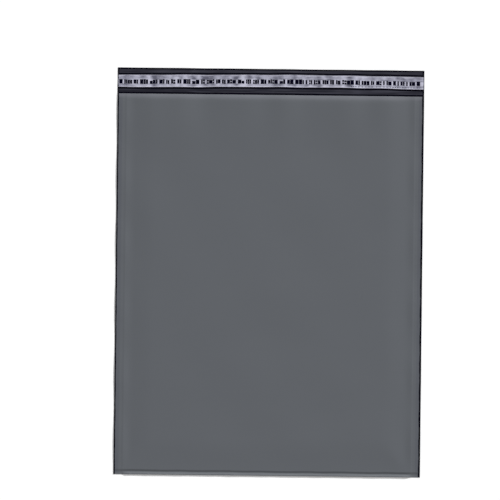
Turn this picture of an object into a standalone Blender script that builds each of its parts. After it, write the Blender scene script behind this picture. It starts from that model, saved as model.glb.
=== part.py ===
"""A poly mailer lying on its back, flap towards +Y.

One sheet of two-layer film makes the whole bag: it runs from the free edge of the flap down the
back, turns round the bottom fold and comes up the front to the mouth. Both sides are welded, which
leaves a flat pocket open at the mouth. The flap carries a strip of hot-melt adhesive under a peel-off
release liner. Lengths are in metres, +Z is up, and the origin is on the floor under the middle.
"""

import math

import bmesh
import bpy

MM = 0.001

# The bag
POCKET_WIDTH = 254.0 * MM  # clear width between the side welds
WELD_WIDTH = 7.0 * MM  # the flat band of each side weld
BAG_LENGTH = 355.6 * MM  # from the bottom fold to the free edge of the flap
FLAP_LENGTH = 22.7 * MM  # how far the back runs on past the mouth
FILM_GAUGE = 0.06 * MM
BEAD_RADIUS = 0.22 * MM  # the rounded bead that the hot knife leaves along each cut side

# How the film lies
FOLD_RISE = 1.10 * MM  # the fold springs open by this much
CREASE_INSET = 2.8 * MM  # a pressed line above the fold, where the films all but touch
CREASE_GAP = 0.12 * MM
POCKET_SLACK = 1.0 * MM  # a little air keeps the front off the back
SLACK_RUN = 30.0 * MM  # length over which the front rises above the crease
SIDE_RUN = 26.0 * MM  # width over which it rises beside a weld
FOLD_SIDE_RUN = 5.0 * MM  # the same, at the fold
MOUTH_GAP = 0.25 * MM  # the front comes down again to its free edge, which is this clear of the flap
LIP_LENGTH = 7.0 * MM  # length over which it comes down
WELD_FRILL = 0.35 * MM  # the shrunk welds wave a little along their length
FRILL_LENGTH = 58.0 * MM
FLAP_RIPPLE = 1.3 * MM  # highest ripple along the flap's free edge
RIPPLE_RUN = 60.0 * MM  # the ripples die out this far below the mouth
SETTLE_RUN = 45.0 * MM  # and over this width towards each cut side
MAIN_RIPPLE_LENGTH = 47.0 * MM  # crest to crest
SLOW_RIPPLE_LENGTH = 108.0 * MM
QUICK_RIPPLE_LENGTH = 29.0 * MM

# The closure strip
LINER_WIDTH = 11.1 * MM
LINER_GAUGE = 0.05 * MM
LINER_INSET = 5.5 * MM  # from the flap's free edge to the liner
LINER_DRIFT = 0.75 * MM  # it was laid on a little crooked, and wanders this far each way
DRIFT_LENGTH = 400.0 * MM
DRIFT_CREST_X = 35.0 * MM  # where it lies nearest to the free edge
LINER_WAVER = 0.2 * MM  # each of its edges wavers by this much more
LINER_CURL = 0.25 * MM  # its long edges lift off the flap by this much
CURLED_SHARE = 0.12  # share of the liner's width, at each edge, that lifts
ADHESIVE_WIDTH = 7.0 * MM
ADHESIVE_GAUGE = 0.05 * MM
LAYER_GAP = 0.03 * MM  # clearance between two layers that lie on each other
TRIM = 0.25 * MM  # the strip stops this far short of the side beads

# How finely the sheets are divided
COLUMN_PITCH = 7.0 * MM
SLOPE_PITCH = 4.2 * MM  # where the front rises beside a weld
ROW_PITCH = 9.6 * MM
CREASE_STEPS = 5
SLACK_STEPS = 5
LIP_STEPS = 4
FLAP_STEPS = 5
FOLD_STEPS = 6
BEAD_STEPS = 4
BEAD_END_ANGLE = math.radians(155)  # the bead's profile ends here, and a small flat closes it
SAME_PLACE = 0.012 * MM  # points closer than this are one

INNER_FACE = 1  # the film's material slot for its black inner layer

GREY = (0.117, 0.124, 0.137, 1)
BLACK = (0.020, 0.019, 0.027, 1)
SILVER = (0.40, 0.39, 0.46, 1)
GLUE = (0.55, 0.50, 0.38, 1)

FILM_WIDTH = POCKET_WIDTH + 2 * WELD_WIDTH
HALF_WIDTH = FILM_WIDTH / 2
# The bead's round profile starts where it is as thick as the two welded films.
BEAD_START_ANGLE = math.asin(FILM_GAUGE / BEAD_RADIUS)
BEAD_WIDTH = BEAD_RADIUS * (math.cos(BEAD_START_ANGLE) - math.cos(BEAD_END_ANGLE))
CUT_X = HALF_WIDTH - BEAD_WIDTH  # where the film runs into its bead
FOLD_Y = -BAG_LENGTH / 2
FLAP_EDGE_Y = BAG_LENGTH / 2
MOUTH_Y = FLAP_EDGE_Y - FLAP_LENGTH
WELD_LIFT = BEAD_RADIUS - FILM_GAUGE  # the beads rest on the floor, so the welds lie this much higher


def ease(t):
    """0 below 0, 1 above 1, and a smooth slope between them."""
    t = min(1.0, max(0.0, t))
    return t * t * (3 - 2 * t)


def wave(distance, length, phase=0.0):
    """A ripple from 0 to 1 along a distance."""
    return 0.5 - 0.5 * math.cos(math.tau * (distance / length + phase))


def inside_weld(x):
    """Distance from the inner edge of the nearer weld, negative inside the weld."""
    return POCKET_WIDTH / 2 - abs(x)


def ripple(x):
    """Uneven ripples across the bag, from 0 to 1."""
    main = wave(x, MAIN_RIPPLE_LENGTH, 0.20)
    slow = wave(x, SLOW_RIPPLE_LENGTH, 0.55)
    quick = wave(x, QUICK_RIPPLE_LENGTH, 0.10)
    return 0.5 * main + 0.3 * slow + 0.2 * quick


def back_middle(x, y):
    """Height of the middle of the back film, which is the one lying on the floor."""
    height = FILM_GAUGE / 2
    weld_share = ease(1 - inside_weld(x) / WELD_WIDTH)
    height += weld_share * (WELD_LIFT + WELD_FRILL * wave(y - FOLD_Y, FRILL_LENGTH))
    loose_share = ease((y - MOUTH_Y + RIPPLE_RUN) / (RIPPLE_RUN + FLAP_LENGTH))
    loose_share *= ease((HALF_WIDTH - abs(x)) / SETTLE_RUN)
    return height + FLAP_RIPPLE * loose_share * ripple(x)


def film_spacing(x, y):
    """Distance between the middles of the front and back films, which touch in the welds."""
    above_fold = y - FOLD_Y
    if above_fold < CREASE_INSET:
        share = 0.5 + 0.5 * math.cos(math.pi * above_fold / CREASE_INSET)
        rise = CREASE_GAP + (FOLD_RISE - CREASE_GAP) * share
    else:
        share = ease((above_fold - CREASE_INSET) / SLACK_RUN)
        rise = CREASE_GAP + (POCKET_SLACK - CREASE_GAP) * share
    side_run = FOLD_SIDE_RUN + (SIDE_RUN - FOLD_SIDE_RUN) * ease(above_fold / SLACK_RUN)
    lip_share = max(0.0, 1 - (MOUTH_Y - y) / LIP_LENGTH) ** 2
    rise -= (rise - MOUTH_GAP) * lip_share
    return FILM_GAUGE + ease(inside_weld(x) / side_run) * rise


def spread(start, end, pitch):
    """Evenly spaced places from start to end, both included, about pitch apart."""
    steps = max(1, round(abs(end - start) / pitch))
    return [start + (end - start) * i / steps for i in range(steps + 1)]


def columns():
    """Places across the film, closest together in the welds and just inside them."""
    inner = POCKET_WIDTH / 2
    near = inner - SIDE_RUN
    half = spread(0, near, COLUMN_PITCH)
    half += spread(near, inner, SLOPE_PITCH)[1:]
    half += spread(inner, CUT_X, WELD_WIDTH / 2)[1:]
    return [-x for x in reversed(half[1:])] + half


def pocket_rows():
    """Places up the pocket from just above the fold to the mouth."""
    crease = FOLD_Y + CREASE_INSET
    slack_end = crease + SLACK_RUN
    lip = MOUTH_Y - LIP_LENGTH
    rows = spread(FOLD_Y + FOLD_RISE, crease, CREASE_INSET / CREASE_STEPS)
    rows += spread(crease, slack_end, SLACK_RUN / SLACK_STEPS)[1:]
    rows += spread(slack_end, lip, ROW_PITCH)[1:]
    return rows + spread(lip, MOUTH_Y, LIP_LENGTH / LIP_STEPS)[1:]


def flap_rows():
    """Places up the flap, above the mouth."""
    return spread(MOUTH_Y, FLAP_EDGE_Y, FLAP_LENGTH / FLAP_STEPS)[1:]


def fold_point(x, angle):
    """A point of the bottom fold. The angle runs from 0 on the back to pi on the front."""
    spacing = film_spacing(x, FOLD_Y)
    radius = spacing / 2
    middle_y = FOLD_Y + FILM_GAUGE / 2 + radius
    bottom = back_middle(x, middle_y)
    return middle_y - radius * math.sin(angle), bottom + radius * (1 - math.cos(angle))


def web(x):
    """The film's middle line at x as (y, z) points: down the back, round the fold and up the front."""
    line = [(y, back_middle(x, y)) for y in reversed(pocket_rows() + flap_rows())]
    line += [fold_point(x, math.pi * i / FOLD_STEPS) for i in range(FOLD_STEPS + 1)]
    line += [(y, back_middle(x, y) + film_spacing(x, y)) for y in pocket_rows()]
    return line


def material(name, colour, roughness):
    made = bpy.data.materials.new(name)
    made.use_nodes = True
    shader = made.node_tree.nodes["Principled BSDF"]
    shader.inputs["Base Color"].default_value = colour
    shader.inputs["Roughness"].default_value = roughness
    made.diffuse_color = colour
    return made


def sheet(name, lines, home):
    """An open surface through lines of points: a grid whose rows and columns are moved onto them."""
    across, along = len(lines), len(lines[0])
    mesh = bpy.data.meshes.new(name)
    grid = bmesh.new()
    bmesh.ops.create_grid(grid, x_segments=across - 1, y_segments=along - 1, size=1)
    for vertex in grid.verts:
        i = round((vertex.co.x + 1) / 2 * (across - 1))
        j = round((vertex.co.y + 1) / 2 * (along - 1))
        vertex.co = lines[i][j]
    grid.to_mesh(mesh)
    grid.free()
    made = bpy.data.objects.new(name, mesh)
    home.objects.link(made)
    return made


def thicken(piece, thickness, inner_face=0):
    """Gives a sheet its gauge, half on each side. The new face may take another material slot."""
    solidify = piece.modifiers.new("gauge", "SOLIDIFY")
    solidify.thickness = thickness
    solidify.offset = 0
    solidify.material_offset = inner_face


def shut_welds(film):
    """Makes one solid of the two films in each weld: their inner faces go, and their edges are joined."""
    for_removal = [
        face
        for face in film.faces
        if face.material_index == INNER_FACE
        and inside_weld(face.calc_center_median().x) < 0
        and face.calc_center_median().y < MOUTH_Y
    ]
    bmesh.ops.delete(film, geom=for_removal, context="FACES")
    loose = [v for v in film.verts if any(edge.is_boundary for edge in v.link_edges)]
    bmesh.ops.remove_doubles(film, verts=loose, dist=SAME_PLACE)


def weld_middle(side, y):
    """Height of the middle of the film's cut side: of both films below the mouth, of the flap above it."""
    single = back_middle(side * CUT_X, y)
    return single if y > MOUTH_Y + FILM_GAUGE else single + FILM_GAUGE / 2


def roll_bead(film, side):
    """Draws one cut side out in steps, swelling and closing again, which makes its round bead."""
    wall = [
        face
        for face in film.faces
        if all(side * vertex.co.x > CUT_X - SAME_PLACE for vertex in face.verts)
    ]
    angle = BEAD_START_ANGLE
    for step in range(1, BEAD_STEPS + 1):
        last = angle
        turn = step / BEAD_STEPS
        angle = BEAD_START_ANGLE + (BEAD_END_ANGLE - BEAD_START_ANGLE) * turn
        outward = BEAD_RADIUS * (math.cos(last) - math.cos(angle))
        swell = math.sin(angle) / math.sin(last)
        made = bmesh.ops.extrude_face_region(film, geom=wall)["geom"]
        bmesh.ops.delete(film, geom=wall, context="FACES_ONLY")
        wall = [item for item in made if isinstance(item, bmesh.types.BMFace)]
        for vertex in {corner for face in wall for corner in face.verts}:
            middle = weld_middle(side, vertex.co.y)
            vertex.co.x += side * outward
            vertex.co.z = middle + (vertex.co.z - middle) * swell


def make_mailer_film(parts, outside, inside):
    """The bag itself: the folded sheet with its gauge, then its welds and cut beads."""
    lines = [[(x, y, z) for y, z in web(x)] for x in columns()]
    folded = sheet("folded_sheet", lines, parts)
    folded.data.materials.append(outside)
    folded.data.materials.append(inside)
    thicken(folded, FILM_GAUGE, inner_face=INNER_FACE)
    graph = bpy.context.evaluated_depsgraph_get()
    mesh = bpy.data.meshes.new_from_object(folded.evaluated_get(graph))
    bpy.data.objects.remove(folded)
    film = bmesh.new()
    film.from_mesh(mesh)
    shut_welds(film)
    roll_bead(film, -1)
    roll_bead(film, 1)
    film.to_mesh(mesh)
    film.free()
    mesh.name = "mailer_film"
    parts.objects.link(bpy.data.objects.new("mailer_film", mesh))


def liner_shift(x):
    """How far the closure strip wanders up the flap at x."""
    return LINER_DRIFT * math.cos(math.tau * (x - DRIFT_CREST_X) / DRIFT_LENGTH)


def strip_line(x, low, high, over_film, waver=0.0, curl=0.0):
    """Points across a strip at x, lying over_film above the film, with its long edges lifted by curl."""
    low += liner_shift(x) + waver * (2 * ripple(x - POCKET_WIDTH / 3) - 1)
    high += liner_shift(x) + waver * (2 * ripple(x + POCKET_WIDTH / 3) - 1)
    points = []
    for share in (0, CURLED_SHARE, 0.5, 1 - CURLED_SHARE, 1):
        y = low + (high - low) * share
        lift = curl * (0.4 + 0.6 * ripple(-x)) if share in (0, 1) else 0
        points.append((x, y, back_middle(x, y) + over_film + lift))
    return points


def make_closure_strip(parts, glue, foil):
    """The adhesive and its release liner, laid on the inner face of the flap from bead to bead."""
    end = CUT_X - TRIM
    places = [-end] + [x for x in columns() if abs(x) < end - WELD_WIDTH / 4] + [end]
    centre = FLAP_EDGE_Y - LINER_INSET - LINER_WIDTH / 2
    glue_height = FILM_GAUGE / 2 + LAYER_GAP + ADHESIVE_GAUGE / 2
    liner_height = glue_height + ADHESIVE_GAUGE / 2 + LAYER_GAP + LINER_GAUGE / 2
    low, high = centre - ADHESIVE_WIDTH / 2, centre + ADHESIVE_WIDTH / 2
    adhesive = sheet(
        "adhesive_strip", [strip_line(x, low, high, glue_height) for x in places], parts
    )
    adhesive.data.materials.append(glue)
    thicken(adhesive, ADHESIVE_GAUGE)
    low, high = centre - LINER_WIDTH / 2, centre + LINER_WIDTH / 2
    liner = sheet(
        "release_liner",
        [strip_line(x, low, high, liner_height, LINER_WAVER, LINER_CURL) for x in places],
        parts,
    )
    liner.data.materials.append(foil)
    thicken(liner, LINER_GAUGE)


def main():
    for old in list(bpy.data.objects):
        bpy.data.objects.remove(old)
    parts = bpy.data.collections.new("poly_mailer")
    bpy.context.scene.collection.children.link(parts)
    outside = material("grey_film", GREY, 0.42)
    inside = material("black_film", BLACK, 0.38)
    make_mailer_film(parts, outside, inside)
    make_closure_strip(
        parts, material("hot_melt", GLUE, 0.25), material("silver_liner", SILVER, 0.45)
    )
    for piece in parts.objects:
        piece.data.shade_smooth()
        piece.data.set_sharp_from_angle(angle=math.radians(40))


main()
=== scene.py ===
"""Looks for a poly mailer that lies on its back, flap towards +Y, seen from straight above.

The bag is one sheet of two-layer film, grey outside and near black inside. It is made here again from
the same lengths as the CAD part, but finer: puckered side welds, a melted cut edge, a scalloped bottom
fold, low billows in the front, painted shadow lines beside the liner and under the lip, and a dark line
along the flap's free edge. The flap carries a band of hot-melt adhesive under a printed release liner,
which lies in low folds. Lengths are in metres, +Z is up, and the origin is on the floor under the middle.
"""

import math
import random

import bmesh
import bpy
from mathutils import Matrix, Vector, noise


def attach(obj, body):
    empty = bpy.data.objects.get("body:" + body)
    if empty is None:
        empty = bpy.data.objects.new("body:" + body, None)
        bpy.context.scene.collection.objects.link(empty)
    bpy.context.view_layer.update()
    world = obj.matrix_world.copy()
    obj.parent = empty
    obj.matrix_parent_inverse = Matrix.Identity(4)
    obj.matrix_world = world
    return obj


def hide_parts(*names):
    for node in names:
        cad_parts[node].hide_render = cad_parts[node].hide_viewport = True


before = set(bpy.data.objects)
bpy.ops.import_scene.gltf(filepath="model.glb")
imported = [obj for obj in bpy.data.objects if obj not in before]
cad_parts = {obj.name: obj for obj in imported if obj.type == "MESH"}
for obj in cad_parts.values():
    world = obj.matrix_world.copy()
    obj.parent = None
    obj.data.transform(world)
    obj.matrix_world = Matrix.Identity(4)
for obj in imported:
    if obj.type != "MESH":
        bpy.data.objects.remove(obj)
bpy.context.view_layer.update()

MM = 0.001
SEED = 14

# The bag, as in the CAD part
POCKET_WIDTH = 254.0 * MM  # clear width between the side welds
WELD_WIDTH = 7.0 * MM  # the flat band of each side weld
BAG_LENGTH = 355.6 * MM  # from the bottom fold to the free edge of the flap
FLAP_LENGTH = 22.7 * MM  # how far the back runs on past the mouth
FILM_GAUGE = 0.06 * MM
BEAD_RADIUS = 0.22 * MM  # the rounded bead that the hot knife leaves along each cut side

# How the film lies, as in the CAD part
FOLD_RISE = 1.10 * MM  # the fold springs open by this much
CREASE_INSET = 2.8 * MM  # a pressed line above the fold, where the films all but touch
CREASE_GAP = 0.12 * MM
POCKET_SLACK = 1.0 * MM  # a little air keeps the front off the back
SLACK_RUN = 30.0 * MM  # length over which the front rises above the crease
SIDE_RUN = 26.0 * MM  # width over which it rises beside a weld
FOLD_SIDE_RUN = 5.0 * MM  # the same, at the fold
MOUTH_GAP = 0.25 * MM  # the front comes down again to its free edge, which is this clear of the flap
LIP_LENGTH = 7.0 * MM  # length over which it comes down
WELD_FRILL = 0.35 * MM  # the shrunk welds wave a little along their length
FRILL_LENGTH = 58.0 * MM
FLAP_RIPPLE = 1.3 * MM  # highest ripple along the flap's free edge
RIPPLE_RUN = 60.0 * MM  # the ripples die out this far below the mouth
SETTLE_RUN = 45.0 * MM  # and over this width towards each cut side
MAIN_RIPPLE_LENGTH = 47.0 * MM  # crest to crest
SLOW_RIPPLE_LENGTH = 108.0 * MM
QUICK_RIPPLE_LENGTH = 29.0 * MM
RIPPLES = (  # length, phase and share of each
    (MAIN_RIPPLE_LENGTH, 0.20, 0.5),
    (SLOW_RIPPLE_LENGTH, 0.55, 0.3),
    (QUICK_RIPPLE_LENGTH, 0.10, 0.2),
)

# The closure strip, as in the CAD part
LINER_WIDTH = 11.1 * MM
LINER_GAUGE = 0.05 * MM
LINER_INSET = 5.5 * MM  # from the flap's free edge to the liner
LINER_DRIFT = 0.75 * MM  # it was laid on a little crooked, and wanders this far each way
DRIFT_LENGTH = 400.0 * MM
DRIFT_CREST_X = 35.0 * MM  # where it lies nearest to the free edge
LINER_WAVER = 0.2 * MM  # each of its edges wavers by this much more
LINER_CURL = 0.25 * MM  # its long edges lift off the flap by this much
LEAST_CURL = 0.4  # share of the curl that is left where it is least
CURLED_SHARE = 0.12  # share of the liner's width, at each edge, that lifts
ADHESIVE_WIDTH = 7.0 * MM
ADHESIVE_GAUGE = 0.05 * MM
LAYER_GAP = 0.03 * MM  # clearance between two layers that lie on each other
TRIM = 0.25 * MM  # the strip stops this far short of the side beads

# Finer forms of the film, only here
CREASE_WAVER = 0.2 * MM  # the pressed crease strays this far each way
CREASE_SQUEEZE = 1.3  # its waves are this much shorter than the flap's ripples
CREASE_HOLD = 9.0 * MM  # rows of the mesh up to this far above it stray as much as it does
CREASE_STEP = 0.20 * MM  # the film stands up by this much just above the pressed crease
CREASE_STEP_RUN = 1.4 * MM
WELD_STEP = 0.10 * MM  # and by this much just inside a weld
WELD_STEP_RUN = 1.0 * MM
PUCKER = 0.07 * MM  # the welds pucker where the heat shrank them
PUCKER_LENGTH = 7.3 * MM
PUCKER_DRIFT = 0.35  # the puckers' spacing drifts by this share of their length
PUCKER_DRIFT_LENGTH = 11.0 * MM
PUCKER_SHIVER = 0.2  # and again by this share, over a shorter length
PUCKER_SHIVER_LENGTH = 4.7 * MM
SCALLOP = 0.20  # share of the fold's rise that comes and goes along it
SCALLOP_SQUEEZE = 1.9  # its scallops are this much shorter than the flap's ripples
BILLOW = 0.35 * MM  # the slack front lies in very low billows
BILLOW_LENGTH = 92.0 * MM
BILLOW_SLANT = 0.5
CROSS_BILLOW_LENGTH = 137.0 * MM
CROSS_BILLOW_SLANT = -0.3
SMALL_BILLOW = 0.4  # the billows between the main ones have this share of their height

# Finer forms of the closure strip, only here
LINER_FOLD = 0.3 * MM  # the liner lies in low folds that run across it
NARROW_FOLD_SPACING = 5.5 * MM
BROAD_FOLD_SPACING = 15.0 * MM
NARROW_FOLD = 0.4  # share of the height by which the narrow folds swing
BROAD_FOLD = 0.3
LINER_FOLD_TURN = 0.3  # how far a fold changes from one long edge of the liner to the other
GLUE_WAVER = 0.05  # share of the adhesive's width that comes and goes along it
GLUE_WAVER_LENGTH = 13.0 * MM
GLUE_DRIFT = 0.2
GLUE_DRIFT_LENGTH = 9.0 * MM

# Widths of the painted shadow lines under the lip and beside the liner, of the flap's dark free edge,
# and of the scorched cut edge
EDGE_LINE = 1.3 * MM
LINER_SHADOW_LINE = 1.45 * MM
LIP_SHADOW_LINE = 1.5 * MM
LINE_TUCK = 0.5 * MM  # the lines beside the liner start this far under it
LEFT_SCORCH = 0.75 * MM
RIGHT_SCORCH = 1.1 * MM
SCORCH_WAVES = (  # length, phase from side to side and share of the width
    (23.0 * MM, 0.0, 0.25),
    (6.1 * MM, 0.4, 0.15),
)
SCORCH_LEAST = 0.8  # share of the width that is always there

# Material slots of the film, after the grey outside
BLACK_SIDE = 1
SHADOW_AND_EDGE_SLOT = 2

# Places that follow from these
FILM_WIDTH = POCKET_WIDTH + 2 * WELD_WIDTH
HALF_WIDTH = FILM_WIDTH / 2
BEAD_START_ANGLE = math.asin(FILM_GAUGE / BEAD_RADIUS)  # where it is as thick as both films
BEAD_END_ANGLE = math.radians(165)
BEAD_STEPS = 7
BEAD_WIDTH = BEAD_RADIUS * (math.cos(BEAD_START_ANGLE) - math.cos(BEAD_END_ANGLE))
CUT_X = HALF_WIDTH - BEAD_WIDTH  # where the film runs into its bead
FOLD_Y = -BAG_LENGTH / 2
FLAP_EDGE_Y = BAG_LENGTH / 2
MOUTH_Y = FLAP_EDGE_Y - FLAP_LENGTH
WELD_LIFT = BEAD_RADIUS - FILM_GAUGE  # the beads rest on the floor, so the welds lie higher
LINER_CENTRE = FLAP_EDGE_Y - LINER_INSET - LINER_WIDTH / 2
STRIP_END = CUT_X - TRIM
GLUE_HEIGHT = FILM_GAUGE / 2 + LAYER_GAP + ADHESIVE_GAUGE / 2
LINER_HEIGHT = GLUE_HEIGHT + ADHESIVE_GAUGE / 2 + LAYER_GAP + LINER_GAUGE / 2

# The photograph
PHOTO_PX = 500
BAG_CENTRE_PX = (268.9, 272.4)
PIXEL = 0.8746 * MM
BAG_TURN = math.radians(0.65)  # the bag lies this much clockwise in the picture
LENS_MM = 135
SENSOR_MM = 36


def ease(t):
    """0 below 0, 1 above 1, and a smooth slope between them."""
    t = min(1.0, max(0.0, t))
    return t * t * (3 - 2 * t)


def wave(distance, length, phase=0.0):
    """A ripple from 0 to 1 along a distance."""
    return 0.5 - 0.5 * math.cos(math.tau * (distance / length + phase))


def inside_weld(x):
    """Distance from the inner edge of the nearer weld, negative inside the weld."""
    return POCKET_WIDTH / 2 - abs(x)


def ripple(x):
    """Uneven ripples across the bag, from 0 to 1."""
    return sum(share * wave(x, length, phase) for length, phase, share in RIPPLES)


def pucker(x, y):
    """The shrunk weld's small puckers, strongest at the cut side."""
    drift = PUCKER_DRIFT * math.sin(y / PUCKER_DRIFT_LENGTH)
    drift += PUCKER_SHIVER * math.sin(y / PUCKER_SHIVER_LENGTH + x)
    share = ease(0.5 - inside_weld(x) / WELD_WIDTH)
    return PUCKER * share * wave(y, PUCKER_LENGTH, drift)


def back_middle(x, y):
    """Height of the middle of the back film, which is the one lying on the floor."""
    height = FILM_GAUGE / 2
    weld_share = ease(1 - inside_weld(x) / WELD_WIDTH)
    height += weld_share * (WELD_LIFT + WELD_FRILL * wave(y - FOLD_Y, FRILL_LENGTH))
    loose_share = ease((y - MOUTH_Y + RIPPLE_RUN) / (RIPPLE_RUN + FLAP_LENGTH))
    loose_share *= ease((HALF_WIDTH - abs(x)) / SETTLE_RUN)
    return height + FLAP_RIPPLE * loose_share * ripple(x) + pucker(x, y)


def fold_rise(x):
    """How far the fold springs open at x: it is a little scalloped."""
    return FOLD_RISE * (1 - SCALLOP * ripple(SCALLOP_SQUEEZE * x))


def crease_stray(x):
    """How far the pressed crease strays from its place at x, away from the fold."""
    return CREASE_WAVER * (2 * ripple(CREASE_SQUEEZE * x + POCKET_WIDTH) - 1)


def billow(x, y):
    """The low billows of the slack front."""
    along = wave(y + BILLOW_SLANT * x, BILLOW_LENGTH, 0.1)
    across = wave(x + CROSS_BILLOW_SLANT * y, CROSS_BILLOW_LENGTH, 0.4)
    return BILLOW * (along * across + SMALL_BILLOW * (1 - along) * (1 - across))


def film_spacing(x, y):
    """Distance between the middles of the front and back films, which touch in the welds."""
    above_fold = y - FOLD_Y
    crease_inset = CREASE_INSET + crease_stray(x)
    above_crease = above_fold - crease_inset
    if above_crease < 0:
        share = 0.5 + 0.5 * math.cos(math.pi * above_fold / crease_inset)
        rise = CREASE_GAP + (fold_rise(x) - CREASE_GAP) * share
    else:
        step = CREASE_STEP * ease(above_crease / CREASE_STEP_RUN)
        slack = POCKET_SLACK - billow(x, y) - CREASE_GAP - step
        rise = CREASE_GAP + step + slack * ease(above_crease / SLACK_RUN)
    side_run = FOLD_SIDE_RUN + (SIDE_RUN - FOLD_SIDE_RUN) * ease(above_fold / SLACK_RUN)
    lip_share = max(0.0, 1 - (MOUTH_Y - y) / LIP_LENGTH) ** 2
    rise -= (rise - MOUTH_GAP) * lip_share
    weld_step = min(WELD_STEP, rise / 2) * ease(inside_weld(x) / WELD_STEP_RUN)
    return FILM_GAUGE + weld_step + ease(inside_weld(x) / side_run) * (rise - weld_step)


def spread(start, end, pitch):
    """Evenly spaced places from start to end, both included, about pitch apart."""
    steps = max(1, round(abs(end - start) / pitch))
    return [start + (end - start) * i / steps for i in range(steps + 1)]


def stretches(first, *runs):
    """Places from first on, through runs of (end, pitch)."""
    places = [first]
    for end, pitch in runs:
        places += spread(places[-1], end, pitch)[1:]
    return places


def columns():
    """Places across the film, closest together in the welds and just inside them."""
    inner = POCKET_WIDTH / 2
    right = stretches(
        0,
        (inner - SIDE_RUN, 3.6 * MM),
        (inner - 2 * WELD_STEP_RUN, 2.4 * MM),
        (inner, 0.5 * MM),
        (CUT_X - RIGHT_SCORCH, 1.1 * MM),
        (CUT_X, 0.45 * MM),
    )
    return [-x for x in reversed(right[1:])] + right


def scorch_width(side, y):
    """Width of the dull black band inside the bead at y. It is uneven, and side is -1 or 1."""
    swing = sum(share * wave(y, length, phase * side) for length, phase, share in SCORCH_WAVES)
    return (LEFT_SCORCH if side < 0 else RIGHT_SCORCH) * (SCORCH_LEAST + swing)


def in_weld(x, y):
    """Shifts a place in a weld sideways, so that one of the columns follows the scorched band."""
    inner = POCKET_WIDTH / 2
    start = CUT_X - RIGHT_SCORCH
    if abs(x) <= inner or abs(x) > CUT_X:
        return x
    side = math.copysign(1, x)
    scorch = scorch_width(side, y)
    if abs(x) < start:
        return side * (inner + (abs(x) - inner) * (CUT_X - scorch - inner) / (start - inner))
    return side * (CUT_X - (CUT_X - abs(x)) * scorch / RIGHT_SCORCH)


def pocket_rows(x):
    """Places up the pocket from just above the fold to the mouth. Those near the crease follow it."""
    first = FOLD_Y + FOLD_RISE
    crease = FOLD_Y + CREASE_INSET
    rows = stretches(
        first,
        (crease, 0.3 * MM),
        (crease + CREASE_STEP_RUN, 0.28 * MM),
        (crease + CREASE_STEP_RUN + 2 * MM, 0.7 * MM),
        (MOUTH_Y - LIP_LENGTH, 2.6 * MM),
        (MOUTH_Y, 0.7 * MM),
    )
    stray = crease_stray(x)
    end = crease + CREASE_HOLD + SLACK_RUN
    shares = [ease((y - first) / (crease - first)) * ease((end - y) / SLACK_RUN) for y in rows]
    return [y + stray * share for y, share in zip(rows, shares)]


def liner_shift(x):
    """How far the closure strip wanders up the flap at x."""
    return LINER_DRIFT * math.cos(math.tau * (x - DRIFT_CREST_X) / DRIFT_LENGTH)


def liner_low(x):
    """The liner's lower edge at x."""
    waver = LINER_WAVER * (2 * ripple(x - POCKET_WIDTH / 3) - 1)
    return LINER_CENTRE - LINER_WIDTH / 2 + liner_shift(x) + waver


def liner_high(x):
    """The liner's upper edge at x."""
    waver = LINER_WAVER * (2 * ripple(x + POCKET_WIDTH / 3) - 1)
    return LINER_CENTRE + LINER_WIDTH / 2 + liner_shift(x) + waver


def flap_marks(x):
    """Places up the flap where a painted shadow line or the dark free-edge line starts or ends, from the
    mouth to the free edge.
    """
    return [
        MOUTH_Y,
        MOUTH_Y + LIP_SHADOW_LINE,
        liner_low(x) - LINER_SHADOW_LINE,
        liner_low(x) + LINE_TUCK,
        liner_high(x) - LINE_TUCK,
        liner_high(x) + LINER_SHADOW_LINE,
        FLAP_EDGE_Y - EDGE_LINE,
        FLAP_EDGE_Y,
    ]


FLAP_STEPS = (2, 2, 3, 8, 3, 2, 2)  # rows between one mark and the next
DARK_RUNS = (0, 2, 4, 6)  # the runs between marks that are painted shadow lines, and the dark line at the free edge


def flap_rows(x):
    """Places up the flap from just above the mouth to the free edge."""
    marks = flap_marks(x)
    rows = [MOUTH_Y]
    for start, end, steps in zip(marks, marks[1:], FLAP_STEPS):
        rows += [start + (end - start) * i / steps for i in range(1, steps + 1)]
    return rows[1:]


def fold_point(x, angle):
    """A point of the bottom fold. The angle runs from 0 on the back to pi on the front."""
    radius = film_spacing(x, FOLD_Y) / 2
    middle_y = FOLD_Y + FILM_GAUGE / 2 + radius
    bottom = back_middle(x, middle_y)
    return middle_y - radius * math.sin(angle), bottom + radius * (1 - math.cos(angle))


FOLD_STEPS = 14


def web(x):
    """The film's middle line at x as (y, z) points: down the back, round the fold and up the front."""
    pocket = pocket_rows(x)
    line = [(y, back_middle(x, y)) for y in reversed(pocket + flap_rows(x))]
    line += [fold_point(x, math.pi * i / FOLD_STEPS) for i in range(FOLD_STEPS + 1)]
    line += [(y, back_middle(x, y) + film_spacing(x, y)) for y in pocket]
    return line


def new_object(name, data):
    """Puts a mesh, a light or a camera into the scene under that name."""
    made = bpy.data.objects.new(name, data)
    bpy.context.scene.collection.objects.link(made)
    return made


def sheet(name, lines):
    """An open surface through lines of points: a grid whose rows and columns are moved onto them."""
    across, along = len(lines), len(lines[0])
    mesh = bpy.data.meshes.new(name)
    grid = bmesh.new()
    bmesh.ops.create_grid(grid, x_segments=across - 1, y_segments=along - 1, size=1)
    for vertex in grid.verts:
        i = round((vertex.co.x + 1) / 2 * (across - 1))
        j = round((vertex.co.y + 1) / 2 * (along - 1))
        vertex.co = lines[i][j]
    grid.to_mesh(mesh)
    grid.free()
    return new_object(name, mesh)


def thicken(piece, thickness, inner_face=0):
    """Gives a sheet its gauge, half on each side, and applies it. The new face may take another slot."""
    solidify = piece.modifiers.new("gauge", "SOLIDIFY")
    solidify.thickness = thickness
    solidify.offset = 0
    solidify.material_offset = inner_face
    graph = bpy.context.evaluated_depsgraph_get()
    mesh = bpy.data.meshes.new_from_object(piece.evaluated_get(graph))
    mesh.name = piece.name
    piece.modifiers.clear()
    piece.data = mesh


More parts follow.
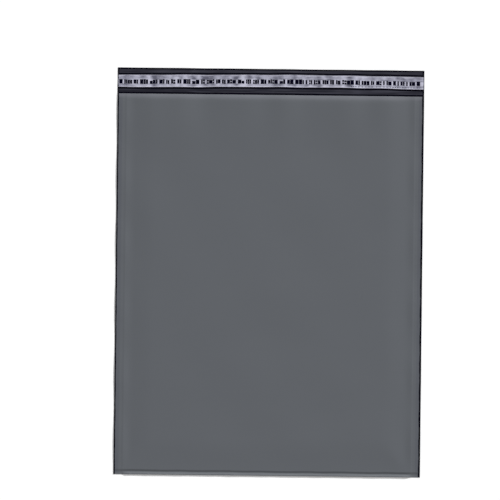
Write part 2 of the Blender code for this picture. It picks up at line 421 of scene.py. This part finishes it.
def shut_welds(film):
    """Makes one solid of the two films in each weld: their inner faces go, and their edges are joined."""
    for_removal = [
        face
        for face in film.faces
        if face.material_index == BLACK_SIDE
        and inside_weld(face.calc_center_median().x) < 0
        and face.calc_center_median().y < MOUTH_Y
    ]
    bmesh.ops.delete(film, geom=for_removal, context="FACES")
    loose = [v for v in film.verts if any(edge.is_boundary for edge in v.link_edges)]
    bmesh.ops.remove_doubles(film, verts=loose, dist=FILM_GAUGE * 0.2)


def weld_middle(side, y):
    """Height of the middle of the film's cut side: of both films below the mouth, of the flap above it."""
    single = back_middle(side * CUT_X, y)
    return single if y > MOUTH_Y + FILM_GAUGE else single + FILM_GAUGE / 2


def roll_bead(film, side):
    """Draws one cut side out in steps, swelling and closing again, which makes its round bead."""
    wall = [
        face
        for face in film.faces
        if all(side * vertex.co.x > CUT_X - FILM_GAUGE / 10 for vertex in face.verts)
    ]
    angle = BEAD_START_ANGLE
    for step in range(1, BEAD_STEPS + 1):
        last = angle
        turn = step / BEAD_STEPS
        angle = BEAD_START_ANGLE + (BEAD_END_ANGLE - BEAD_START_ANGLE) * turn
        outward = BEAD_RADIUS * (math.cos(last) - math.cos(angle))
        swell = math.sin(angle) / math.sin(last)
        made = bmesh.ops.extrude_face_region(film, geom=wall)["geom"]
        bmesh.ops.delete(film, geom=wall, context="FACES_ONLY")
        wall = [item for item in made if isinstance(item, bmesh.types.BMFace)]
        for vertex in {corner for face in wall for corner in face.verts}:
            middle = weld_middle(side, vertex.co.y)
            vertex.co.x += side * outward
            vertex.co.z = middle + (vertex.co.z - middle) * swell


def paint_shadow_lines_and_dark_edges(film):
    """Gives the painted shadow lines of the flap, its dark free edge and the scorched cut sides their own
    dull black.
    """
    for face in film.faces:
        centre = face.calc_center_median()
        if abs(centre.x) > CUT_X - scorch_width(math.copysign(1, centre.x), centre.y):
            face.material_index = SHADOW_AND_EDGE_SLOT
        # painted shadow lines under the lip and beside the liner, and the flap's dark free edge
        elif centre.y > MOUTH_Y and face.material_index == BLACK_SIDE:
            marks = flap_marks(centre.x)
            run = sum(mark < centre.y for mark in marks) - 1
            if run in DARK_RUNS:
                face.material_index = SHADOW_AND_EDGE_SLOT


# Shader node groups


def node_group(name, inputs, outputs):
    """An empty node group with named sockets: (name, kind, value) in, (name, kind) out."""
    tree = bpy.data.node_groups.new(name, "ShaderNodeTree")
    for label, kind, value in inputs:
        socket = tree.interface.new_socket(label, in_out="INPUT", socket_type="NodeSocket" + kind)
        if value is not None:
            socket.default_value = value
    for label, kind in outputs:
        tree.interface.new_socket(label, in_out="OUTPUT", socket_type="NodeSocket" + kind)
    return tree, tree.nodes.new("NodeGroupInput"), tree.nodes.new("NodeGroupOutput")


def fill_inputs(tree, made, inputs):
    """Links or sets a node's input sockets, which are given by name or number."""
    for socket, source in inputs.items():
        if isinstance(source, bpy.types.NodeSocket):
            tree.links.new(source, made.inputs[socket])
        else:
            made.inputs[socket].default_value = source


def node(tree, kind, inputs=None, **settings):
    """A shader node with its inputs filled and its settings set."""
    made = tree.nodes.new("ShaderNode" + kind)
    for name, value in settings.items():
        setattr(made, name, value)
    fill_inputs(tree, made, inputs or {})
    return made


def math_node(tree, operation, first, second):
    """The outcome of an operation on two values."""
    return node(tree, "Math", {0: first, 1: second}, operation=operation).outputs[0]


def mix_colour(tree, share, first, second):
    """The first colour where the share is 0, and the second where it is 1: sockets 6 and 7."""
    return node(tree, "Mix", {0: share, 6: first, 7: second}, data_type="RGBA").outputs[2]


def drawn_out(tree, value, low, high):
    """A value whose run from low to high is drawn out to run from 0 to 1."""
    made = node(tree, "MapRange", {"Value": value, "From Min": low, "From Max": high})
    return made.outputs["Result"]


EVENLY = (1.0, 1.0, 1.0)


def stretched_noise(tree, place, squeeze, scale, detail, roughness=0.55):
    """Noise over a place, squeezed along each axis: it is drawn out where the squeeze is under 1."""
    drawn = node(tree, "VectorMath", {0: place, 1: squeeze}, operation="MULTIPLY").outputs[0]
    made = node(
        tree,
        "TexNoise",
        {"Vector": drawn, "Scale": scale, "Detail": detail, "Roughness": roughness},
    )
    return made.outputs["Fac"]


def film_grain_group():
    """Blown film: the height of its die lines, soft dents and fine grain, and its mottling."""
    tree, given, out = node_group(
        "film_grain",
        [
            ("Place", "Vector", None),
            ("Lines", "Float", 0.5),
            ("Dents", "Float", 0.5),
            ("Grain", "Float", 0.3),
        ],
        [("Height", "Float"), ("Cloud", "Float"), ("Streaks", "Float")],
    )
    place = given.outputs["Place"]
    lines = stretched_noise(tree, place, (0.03, 1.0, 1.0), scale=900, detail=2)
    dents = stretched_noise(tree, place, (1.0, 1.6, 1.0), scale=55, detail=2)
    grain = stretched_noise(tree, place, EVENLY, scale=2600, detail=1)
    cloud = stretched_noise(tree, place, (0.35, 1.0, 1.0), scale=28, detail=4)
    height = math_node(tree, "MULTIPLY", lines, given.outputs["Lines"])
    dented = math_node(tree, "MULTIPLY", dents, given.outputs["Dents"])
    grainy = math_node(tree, "MULTIPLY", grain, given.outputs["Grain"])
    height = math_node(tree, "ADD", height, dented)
    height = math_node(tree, "ADD", height, grainy)
    tree.links.new(height, out.inputs["Height"])
    tree.links.new(cloud, out.inputs["Cloud"])
    tree.links.new(lines, out.inputs["Streaks"])
    return tree


def edge_fade_group():
    """A mask that is 1 to a core's width from an edge and 0 at a width from it, a little uneven."""
    tree, given, out = node_group(
        "edge_fade",
        [
            ("Distance", "Float", 1.0),
            ("Core", "Float", 0.0),
            ("Width", "Float", 0.002),
            ("Place", "Vector", None),
            ("Unevenness", "Float", 0.2),
        ],
        [("Mask", "Float")],
    )
    uneven = stretched_noise(tree, given.outputs["Place"], EVENLY, scale=160, detail=2)
    centred = math_node(tree, "SUBTRACT", uneven, 0.5)
    swing = math_node(tree, "MULTIPLY", centred, given.outputs["Unevenness"])
    outside = math_node(tree, "SUBTRACT", given.outputs["Distance"], given.outputs["Core"])
    run = math_node(tree, "SUBTRACT", given.outputs["Width"], given.outputs["Core"])
    share = math_node(tree, "ADD", math_node(tree, "DIVIDE", outside, run), swing)
    faded = node(
        tree,
        "MapRange",
        {"Value": share, "From Min": 0.0, "From Max": 1.0, "To Min": 1.0, "To Max": 0.0},
        interpolation_type="SMOOTHSTEP",
    )
    tree.links.new(faded.outputs["Result"], out.inputs["Mask"])
    return tree


FILM_GRAIN = film_grain_group()
EDGE_FADE = edge_fade_group()


def placed(tree, group, inputs):
    """A node group with its inputs filled."""
    made = tree.nodes.new("ShaderNodeGroup")
    made.node_tree = group
    fill_inputs(tree, made, inputs)
    return made


def new_material(name, **shader_values):
    """A material with a Principled BSDF, whose sockets are named with _ for each space."""
    made = bpy.data.materials.new(name)
    made.use_nodes = True
    shader = made.node_tree.nodes["Principled BSDF"]
    for socket, value in shader_values.items():
        shader.inputs[socket.replace("_", " ")].default_value = value
    place = node(made.node_tree, "TexCoord").outputs["Object"]
    return made, made.node_tree, shader, place


def carried(tree, name):
    """One of the values that the mesh carries at its points."""
    return node(tree, "Attribute", attribute_name=name).outputs["Fac"]


def add_relief(tree, shader, height, strength, distance):
    """Fine relief in the shading, from a height."""
    bump = node(tree, "Bump", {"Height": height, "Strength": strength, "Distance": distance})
    tree.links.new(bump.outputs["Normal"], shader.inputs["Normal"])


def edge_tint(tree, place, colour, distance, core, width, unevenness, strength, tinted):
    """The colour, turned to the tinted one near an edge whose distance the mesh carries."""
    inputs = {
        "Distance": carried(tree, distance),
        "Core": core,
        "Width": width,
        "Place": place,
        "Unevenness": unevenness,
    }
    mask = placed(tree, EDGE_FADE, inputs).outputs["Mask"]
    return mix_colour(tree, math_node(tree, "MULTIPLY", mask, strength), colour, tinted)


# Colours, linear. The first two of each material are the ends of its mottling
GREY_FILM = ((0.0965, 0.1045, 0.1175, 1), (0.1025, 0.1105, 0.1235, 1))
GREY_WELD = (0.080, 0.086, 0.104, 1)
# painted highlight, where the lip bends down towards the light
LIP_PAINTED_HIGHLIGHT = (0.163, 0.167, 0.193, 1)
GREY_BY_SCORCH = (0.016, 0.018, 0.022, 1)
# painted shade in the pressed crease above the fold
CREASE_PAINTED_SHADE = (0.045, 0.049, 0.055, 1)
# painted highlight on the fold's ridge, which faces the light
FOLD_PAINTED_HIGHLIGHT = (0.165, 0.169, 0.180, 1)
BLACK_FILM = ((0.001, 0.001, 0.009, 1), (0.030, 0.030, 0.046, 1))
# painted shadow: the near-black of the lines beside the liner and under the lip, also used on the dark
# edges
SHADOW_AND_EDGE_BLACK = ((0.0012, 0.0012, 0.004, 1), (0.0035, 0.0035, 0.008, 1))
# from painted shade in the dips of the liner's folds to painted light on their crests, with mottling
# between
LINER = ((0.095, 0.095, 0.137, 1), (0.48, 0.48, 0.59, 1))
LINER_GROUND = (0.66, 0.66, 0.79, 1)
LINER_BORDER = (0.60, 0.60, 0.71, 1)
# painted shade at the liner's curled long edges
EDGE_PAINTED_SHADE = (0.030, 0.028, 0.045, 1)
INK = ((0.0008, 0.0008, 0.006, 1), (0.012, 0.012, 0.030, 1))
HOT_MELT = ((0.46, 0.40, 0.27, 1), (0.62, 0.57, 0.45, 1))


def grey_film():
    """The outer layer: satin grey, bluish over the welds, dark beside the cut, with a painted highlight
    that makes the lip paler, painted shade in the crease above the fold and a painted highlight on the
    fold's ridge.
    """
    made, tree, shader, place = new_material("grey_film", Roughness=0.44, Specular_IOR_Level=0.42)
    grain = placed(tree, FILM_GRAIN, {"Place": place, "Lines": 0.5, "Dents": 0.45, "Grain": 0.6})
    colour = mix_colour(tree, grain.outputs["Cloud"], *GREY_FILM)
    for edge in (  # distance, core, width, unevenness, strength and colour
        ("from_cut", 3.6 * MM, 5.0 * MM, 0.2, 0.6, GREY_WELD),
        # painted highlight on the lip
        ("from_lip", 0.8 * MM, 5.2 * MM, 0.3, 0.55, LIP_PAINTED_HIGHLIGHT),
        ("from_scorch", 0.0, 0.7 * MM, 0.6, 0.6, GREY_BY_SCORCH),
        # painted shade in the crease
        ("from_crease", 0.5 * MM, 1.3 * MM, 0.6, 0.5, CREASE_PAINTED_SHADE),
        # painted highlight on the fold's ridge
        ("from_fold", 1.2 * MM, 2.1 * MM, 0.6, 0.12, FOLD_PAINTED_HIGHLIGHT),
    ):
        colour = edge_tint(tree, place, colour, *edge)
    tree.links.new(colour, shader.inputs["Base Color"])
    add_relief(tree, shader, grain.outputs["Height"], strength=0.5, distance=0.05 * MM)
    return made


def black_film():
    """The inner layer: near black with a violet cast and a soft shine, streaked along the web."""
    made, tree, shader, place = new_material("black_film", Roughness=0.40, Specular_IOR_Level=0.42)
    grain = placed(tree, FILM_GRAIN, {"Place": place, "Lines": 0.9, "Dents": 0.5, "Grain": 0.1})
    shade = math_node(tree, "ADD", grain.outputs["Cloud"], grain.outputs["Streaks"])
    colour = mix_colour(tree, drawn_out(tree, shade, low=0.84, high=1.16), *BLACK_FILM)
    tree.links.new(colour, shader.inputs["Base Color"])
    add_relief(tree, shader, grain.outputs["Height"], strength=0.5, distance=0.06 * MM)
    return made


def painted_shadow_and_dark_edges():
    """Dull and almost black: painted shadow for the lines beside the liner and under the lip, and the
    flap's dark free edge and the melted cut sides.
    """
    made, tree, shader, place = new_material("painted_shadow_and_dark_edges", Roughness=0.8, Specular_IOR_Level=0.0)
    grain = placed(tree, FILM_GRAIN, {"Place": place, "Lines": 0.5, "Dents": 0.5, "Grain": 0.5})
    colour = mix_colour(tree, grain.outputs["Cloud"], *SHADOW_AND_EDGE_BLACK)
    tree.links.new(colour, shader.inputs["Base Color"])
    add_relief(tree, shader, grain.outputs["Height"], strength=0.4, distance=0.05 * MM)
    return made


def silver_liner():
    """The release liner: lilac silver, with painted shade in the dips of its folds and painted light on
    their crests, painted shade along its very edges, and paler at its borders and under the print.
    """
    made, tree, shader, place = new_material("silver_liner", Roughness=0.42, Specular_IOR_Level=0.5)
    grain = placed(tree, FILM_GRAIN, {"Place": place, "Lines": 0.9, "Dents": 0.9, "Grain": 0.2})
    streaks = stretched_noise(tree, place, (0.11, 1.0, 1.0), scale=950, detail=2, roughness=0.6)
    blotches = stretched_noise(tree, place, (0.7, 1.0, 1.0), scale=260, detail=3, roughness=0.7)
    # painted light and shade: the folds' crests paler, their dips darker
    shade = math_node(tree, "MULTIPLY", carried(tree, "fold_painted_light"), 0.7)
    for mottling, share in ((streaks, 0.35), (blotches, 0.45)):
        shade = math_node(tree, "ADD", shade, math_node(tree, "MULTIPLY", mottling, share))
    colour = mix_colour(tree, drawn_out(tree, shade, low=0.565, high=0.905), *LINER)
    for edge in (  # distance, core, width, unevenness, strength and colour
        ("from_print", 1.4 * MM, 2.0 * MM, 0.5, 0.42, LINER_GROUND),
        ("from_liner_edge", 0.3 * MM, 1.6 * MM, 2.4, 0.6, LINER_BORDER),
        # painted shade at the curled edges
        ("from_liner_edge", 0.20 * MM, 0.50 * MM, 0.5, 0.9, EDGE_PAINTED_SHADE),
    ):
        colour = edge_tint(tree, place, colour, *edge)
    tree.links.new(colour, shader.inputs["Base Color"])
    add_relief(tree, shader, grain.outputs["Height"], strength=0.6, distance=0.08 * MM)
    return made


def printed_ink():
    """Dark navy ink, thin in places."""
    made, tree, shader, place = new_material("printed_ink", Roughness=0.7, Specular_IOR_Level=0.0)
    worn = stretched_noise(tree, place, EVENLY, scale=900, detail=3)
    worn = drawn_out(tree, worn, low=0.5, high=0.8)
    tree.links.new(mix_colour(tree, worn, *INK), shader.inputs["Base Color"])
    add_relief(tree, shader, worn, strength=0.2, distance=0.01 * MM)
    return made


def hot_melt():
    """Clear amber adhesive, glossy, with small bubbles and drawn streaks."""
    made, tree, shader, place = new_material(
        "hot_melt", Roughness=0.22, Coat_Weight=0.5, Coat_Roughness=0.1
    )
    grain = placed(tree, FILM_GRAIN, {"Place": place, "Lines": 0.8, "Dents": 1.0, "Grain": 0.6})
    colour = mix_colour(tree, grain.outputs["Cloud"], *HOT_MELT)
    tree.links.new(colour, shader.inputs["Base Color"])
    add_relief(tree, shader, grain.outputs["Height"], strength=0.6, distance=0.06 * MM)
    return made


def carry(piece, name, measure):
    """Stores measure(point) at each corner point of the piece, for its material to read."""
    mesh = piece.data
    values = [measure(vertex.co) for vertex in mesh.vertices]
    mesh.attributes.new(name, "FLOAT", "POINT").data.foreach_set("value", values)


FAR = 1.0  # a distance that no edge's finish reaches
SHARP_ANGLE = math.radians(35)


def on_front(point):
    """True on the front of the pocket, whose film lies over the back's."""
    middle = back_middle(point.x, point.y) + film_spacing(point.x, point.y) / 2
    return point.y < MOUTH_Y + FILM_GAUGE and point.z > middle


def make_film():
    """The bag itself: the folded sheet with its gauge, then its welds, cut beads, painted shadow lines and
    dark edges.
    """
    lines = [[(in_weld(x, y), y, z) for y, z in web(x)] for x in columns()]
    piece = sheet("folded_film", lines)
    for finish in (grey_film(), black_film(), painted_shadow_and_dark_edges()):
        piece.data.materials.append(finish)
    thicken(piece, FILM_GAUGE, inner_face=BLACK_SIDE)
    film = bmesh.new()
    film.from_mesh(piece.data)
    shut_welds(film)
    roll_bead(film, -1)
    roll_bead(film, 1)
    paint_shadow_lines_and_dark_edges(film)
    film.to_mesh(piece.data)
    film.free()
    carry(piece, "from_cut", lambda p: HALF_WIDTH - abs(p.x))
    carry(piece, "from_scorch", lambda p: CUT_X - scorch_width(1, p.y) - p.x if p.x > 0 else FAR)
    carry(piece, "from_lip", lambda p: MOUTH_Y - p.y if on_front(p) else FAR)
    groove_y = FOLD_Y + CREASE_INSET + CREASE_STEP_RUN / 2
    carry(piece, "from_crease", lambda p: abs(p.y - groove_y - crease_stray(p.x)))
    carry(piece, "from_fold", lambda p: p.y - FOLD_Y)
    finish_mesh(piece)
    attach(piece, "root")
    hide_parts("mailer_film")


def finish_mesh(piece):
    """Smooth shading that keeps the film's cut edges sharp."""
    piece.data.shade_smooth()
    piece.data.set_sharp_from_angle(angle=SHARP_ANGLE)


def strip_places(pitch):
    """Places across the flap, about pitch apart, from one end of the closure strip to the other."""
    return spread(-STRIP_END, STRIP_END, pitch)


def curl_lift(x, share):
    """How far the liner's long edges lift at a share of its width."""
    edge = max(0.0, 1 - min(share, 1 - share) / CURLED_SHARE)
    return LINER_CURL * edge * edge * (LEAST_CURL + (1 - LEAST_CURL) * ripple(-x))


def liner_fold(x, share):
    """The low folds that run across the liner: 0 in the deepest dip and 1 on the highest crest."""
    turn = LINER_FOLD_TURN * share
    narrow = noise.noise(Vector((x / NARROW_FOLD_SPACING, turn, SEED)))
    broad = noise.noise(Vector((x / BROAD_FOLD_SPACING, turn, -SEED)))
    return min(1.0, max(0.0, 0.5 + NARROW_FOLD * narrow + BROAD_FOLD * broad))


def liner_share(point):
    """How far a point is on the way from the liner's lower to its upper edge."""
    low = liner_low(point.x)
    return (point.y - low) / (liner_high(point.x) - low)


def liner_point(x, share, over=0.0):
    """A point of the liner's middle face at x, and a share of the way from its lower to its upper edge."""
    y = liner_low(x) + (liner_high(x) - liner_low(x)) * share
    lift = curl_lift(x, share) + LINER_FOLD * liner_fold(x, share)
    return x, y, back_middle(x, y) + LINER_HEIGHT + lift + over


# Places of the mesh's rows on the liner and on the adhesive, closest together at the long edges
LINER_SHARES = (0, 0.03, 0.06, 0.09, 0.12, 0.2, 0.3, 0.4, 0.5, 0.6, 0.7, 0.8, 0.88, 0.91, 0.94, 0.97, 1)
ADHESIVE_SHARES = (-1, -0.8, -0.4, 0, 0.4, 0.8, 1)


def make_liner(printed):
    """The release liner. The print that is passed in is not used."""
    lines = [[liner_point(x, share) for share in LINER_SHARES] for x in strip_places(0.8 * MM)]
    piece = sheet("peel_liner", lines)
    piece.data.materials.append(silver_liner())
    thicken(piece, LINER_GAUGE)
    print_height = LINER_WIDTH * (TICK_LOW + TICK_HIGH) / 2
    carry(piece, "from_liner_edge", lambda p: min(p.y - liner_low(p.x), liner_high(p.x) - p.y))
    carry(piece, "from_print", lambda p: abs(p.y - liner_low(p.x) - print_height))
    carry(piece, "fold_painted_light", lambda p: liner_fold(p.x, liner_share(p)))
    finish_mesh(piece)
    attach(piece, "root")
    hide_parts("release_liner")


def make_adhesive():
    """The hot-melt band, laid from a nozzle: its long edges waver and swell a little."""
    lines = []
    for x in strip_places(1.6 * MM):
        drift = GLUE_DRIFT * math.sin(x / GLUE_DRIFT_LENGTH)
        half = ADHESIVE_WIDTH / 2 * (1 - GLUE_WAVER * wave(x, GLUE_WAVER_LENGTH, drift))
        rows = [LINER_CENTRE + liner_shift(x) + half * share for share in ADHESIVE_SHARES]
        lines.append([(x, y, back_middle(x, y) + GLUE_HEIGHT) for y in rows])
    piece = sheet("hot_melt_band", lines)
    piece.data.materials.append(hot_melt())
    thicken(piece, ADHESIVE_GAUGE)
    finish_mesh(piece)
    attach(piece, "root")
    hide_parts("adhesive_strip")


# The print on the liner: generic groups of bars and squares

TICK_LOW = 0.27  # share of the liner's width
TICK_HIGH = 0.607
DASH_LOW = 0.10
DASH_HIGH = 0.15
DASHES_FROM_X = 70 * MM
MARKS_IN_A_GROUP = (1, 2, 2, 3, 3, 4)
MARK_WIDTHS = (1.3 * MM, 1.5 * MM, 1.8 * MM, 2.4 * MM, 3.0 * MM)
STACKED_WIDTH = 2.0 * MM  # narrower marks than this may be two stacked squares
SOLID_SHARE = 0.85  # share of the marks that are plain bars
STACK_HALF_GAP = 0.022  # this and the next three are shares of the liner's width
SHORTENING = 0.09
LOW_JITTER = 0.02
HIGH_JITTER = 0.03
MARK_GAPS = (0.18 * MM, 0.28 * MM)
GROUP_GAPS = (1.05 * MM, 1.5 * MM)
DASH_WIDTHS = (0.6 * MM, 1.3 * MM)
DASH_GAPS = (0.7 * MM, 2.4 * MM)
END_MARGIN = 0.6 * MM
LAST_START = 3.0 * MM  # no group or dash starts nearer than this to the right end
INK_PITCH = 0.8 * MM
INK_STEP = 0.07  # share of the liner's width
INK_LIFT = LINER_GAUGE / 2 + 0.012 * MM
INK_GAUGE = 0.012 * MM


def tick(grid, start, end, low, high):
    """One printed mark: a small thin block that lies on the liner and follows its waves."""
    across = spread(start, end, INK_PITCH)
    up = spread(low, high, INK_STEP)
    rows = []
    for lift in (INK_LIFT, INK_LIFT + INK_GAUGE):
        rows.append([[grid.verts.new(liner_point(x, share, lift)) for share in up] for x in across])
    bottom, top = rows
    for i in range(len(across) - 1):
        for j in range(len(up) - 1):
            grid.faces.new((top[i][j], top[i + 1][j], top[i + 1][j + 1], top[i][j + 1]))
            grid.faces.new((bottom[i][j], bottom[i][j + 1], bottom[i + 1][j + 1], bottom[i + 1][j]))
    for i in range(len(across) - 1):
        grid.faces.new((bottom[i][0], bottom[i + 1][0], top[i + 1][0], top[i][0]))
        grid.faces.new((bottom[i + 1][-1], bottom[i][-1], top[i][-1], top[i + 1][-1]))
    for j in range(len(up) - 1):
        grid.faces.new((bottom[0][j + 1], bottom[0][j], top[0][j], top[0][j + 1]))
        grid.faces.new((bottom[-1][j], bottom[-1][j + 1], top[-1][j + 1], top[-1][j]))


def make_print():
    """Groups of upright bars and stacked squares along the liner, in no alphabet."""
    draw = random.Random(SEED)
    grid = bmesh.new()
    x = -STRIP_END + END_MARGIN
    while x < STRIP_END - LAST_START:
        for _ in range(draw.choice(MARKS_IN_A_GROUP)):
            width = draw.choice(MARK_WIDTHS)
            if x + width > STRIP_END - END_MARGIN:
                break
            style = draw.random()
            low = TICK_LOW + draw.uniform(-LOW_JITTER, LOW_JITTER)
            high = TICK_HIGH + draw.uniform(-HIGH_JITTER, HIGH_JITTER)
            if style < SOLID_SHARE:
                tick(grid, x, x + width, low, high)
            elif width < STACKED_WIDTH:
                middle = (low + high) / 2
                tick(grid, x, x + width, low, middle - STACK_HALF_GAP)
                tick(grid, x, x + width, middle + STACK_HALF_GAP, high)
            else:
                tick(grid, x, x + width, low, high - SHORTENING)
            x += width + draw.uniform(*MARK_GAPS)
        x += draw.uniform(*GROUP_GAPS)
    x = DASHES_FROM_X
    while x < STRIP_END - LAST_START:
        width = draw.uniform(*DASH_WIDTHS)
        tick(grid, x, x + width, DASH_LOW, DASH_HIGH)
        x += width + draw.uniform(*DASH_GAPS)
    bmesh.ops.recalc_face_normals(grid, faces=grid.faces)
    mesh = bpy.data.meshes.new("liner_print")
    grid.to_mesh(mesh)
    grid.free()
    piece = new_object("liner_print", mesh)
    piece.data.materials.append(printed_ink())
    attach(piece, "root")
    return piece


# The studio

FLOOR_HALF_WIDTH = 4.0
FLOOR_DROP = 0.02 * MM  # the floor is this far under the bag
FLOOR_COLOUR = (0.94, 0.94, 0.945, 1)
FLOOR_GLOW = 0.07  # makes the open floor pure white to the camera and in what is glossy
WORLD_STRENGTH = 0.42
KEY_STRENGTH = 4.75
KEY_WIDTH = math.radians(9)
KEY_FROM = (0.60, 0.69, 0.40)  # the direction that the light comes from


def make_floor():
    """A plain white floor, which shows the bag's shadow and is pure white elsewhere."""
    mesh = bpy.data.meshes.new("floor")
    grid = bmesh.new()
    bmesh.ops.create_grid(grid, x_segments=8, y_segments=8, size=FLOOR_HALF_WIDTH)
    grid.to_mesh(mesh)
    grid.free()
    floor = new_object("floor", mesh)
    floor.location.z = -FLOOR_DROP
    made = bpy.data.materials.new("white_floor")
    made.use_nodes = True
    tree = made.node_tree
    tree.nodes.remove(tree.nodes["Principled BSDF"])
    surface = node(tree, "BsdfDiffuse", {"Color": FLOOR_COLOUR})
    path = node(tree, "LightPath")
    seen = math_node(tree, "MAXIMUM", path.outputs["Is Camera Ray"], path.outputs["Is Glossy Ray"])
    seen = math_node(tree, "MAXIMUM", seen, path.outputs["Is Transmission Ray"])
    strength = math_node(tree, "MULTIPLY", seen, FLOOR_GLOW)
    glow = node(tree, "Emission", {"Color": (1, 1, 1, 1), "Strength": strength})
    both = node(tree, "AddShader", {0: surface.outputs[0], 1: glow.outputs[0]})
    tree.links.new(both.outputs[0], tree.nodes["Material Output"].inputs["Surface"])
    floor.data.materials.append(made)


def make_light():
    """Soft light from all round, and a key from the upper right that gives the short soft shadow."""
    world = bpy.data.worlds.new("studio")
    bpy.context.scene.world = world
    world.use_nodes = True
    background = world.node_tree.nodes["Background"]
    background.inputs["Color"].default_value = (1, 1, 1, 1)
    background.inputs["Strength"].default_value = WORLD_STRENGTH
    key = bpy.data.lights.new("key", "SUN")
    key.energy = KEY_STRENGTH
    key.angle = KEY_WIDTH
    lamp = new_object("key", key)
    lamp.rotation_euler = Vector(KEY_FROM).to_track_quat("Z", "Y").to_euler()


def make_camera():
    """Straight above, turned so that the bag lies as in the photograph."""
    data = bpy.data.cameras.new("camera")
    data.lens = LENS_MM
    data.sensor_width = SENSOR_MM
    camera = new_object("camera", data)
    bpy.context.scene.camera = camera
    view_width = PHOTO_PX * PIXEL
    height = view_width * LENS_MM / SENSOR_MM
    bag_right = (BAG_CENTRE_PX[0] - PHOTO_PX / 2) * PIXEL
    bag_up = (PHOTO_PX / 2 - BAG_CENTRE_PX[1]) * PIXEL
    turn = Matrix.Rotation(BAG_TURN, 3, "Z")
    camera.location = turn @ Vector((-bag_right, -bag_up, 0)) + Vector((0, 0, height))
    camera.rotation_euler = (0, 0, BAG_TURN)


make_camera()
make_film()
make_adhesive()
make_liner(make_print())
make_floor()
make_light()
bpy.context.scene.view_settings.view_transform = "Standard"
